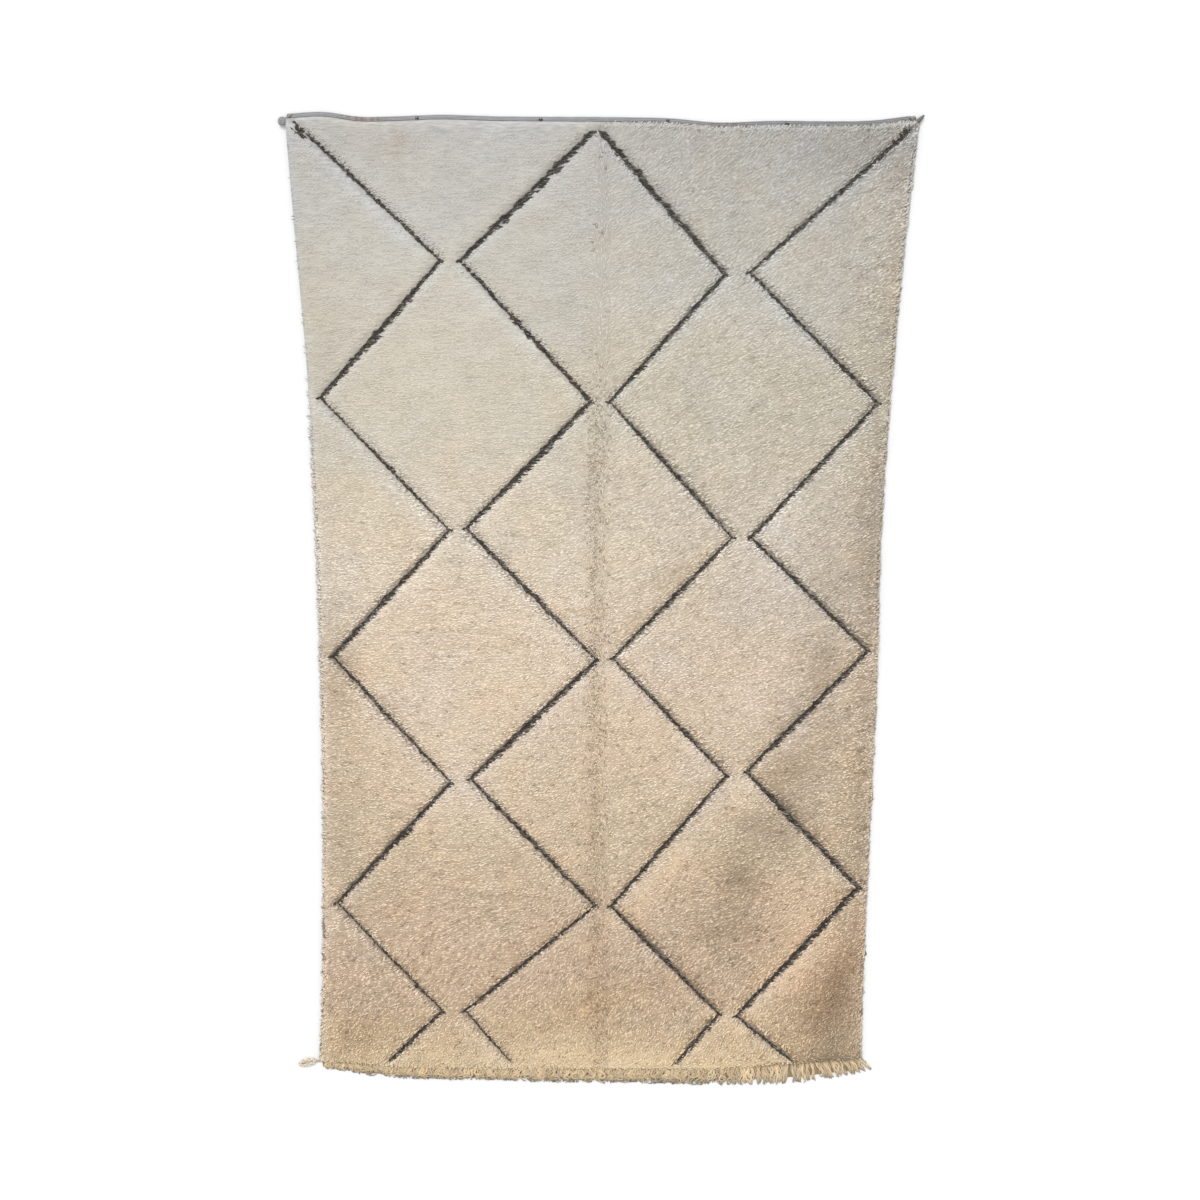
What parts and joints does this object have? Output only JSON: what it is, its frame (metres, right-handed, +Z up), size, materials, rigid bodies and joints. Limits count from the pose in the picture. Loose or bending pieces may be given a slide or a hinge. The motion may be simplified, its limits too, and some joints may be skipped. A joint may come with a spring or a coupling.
{
  "type": "beni ourain rug",
  "caption": "Hand-knotted wool shag rug laid flat: ivory pile, dark zigzag lines making a diamond lattice, a woven band at one end and a loose fringe at the other.",
  "frame": {"origin": "on the flat underside, at the middle of the rug's length and on the middle line of its pattern", "axes": "+X across the rug, +Y along it towards the plain end, +Z up out of the pile"},
  "size_m": [1.6755, 2.6825, 0.0272],
  "materials": {
    "pile_wool": "matte shag wool, cool ivory at the plain end and warm cream at the fringe",
    "fringe_wool": "matte loose wool yarn, cream",
    "braid_wool": "matte plaited wool yarn, greyish cream",
    "knob_wool": "matte knotted wool yarn, grey",
    "dark_wool": "matte wool yarn, charcoal grey"
  },
  "bodies": {
    "root": {"rug_field": "pile_wool", "end_fringe": "fringe_wool", "corner_braid": "braid_wool", "corner_knob": "knob_wool", "corner_tie": "dark_wool"}
  },
  "joints": []
}
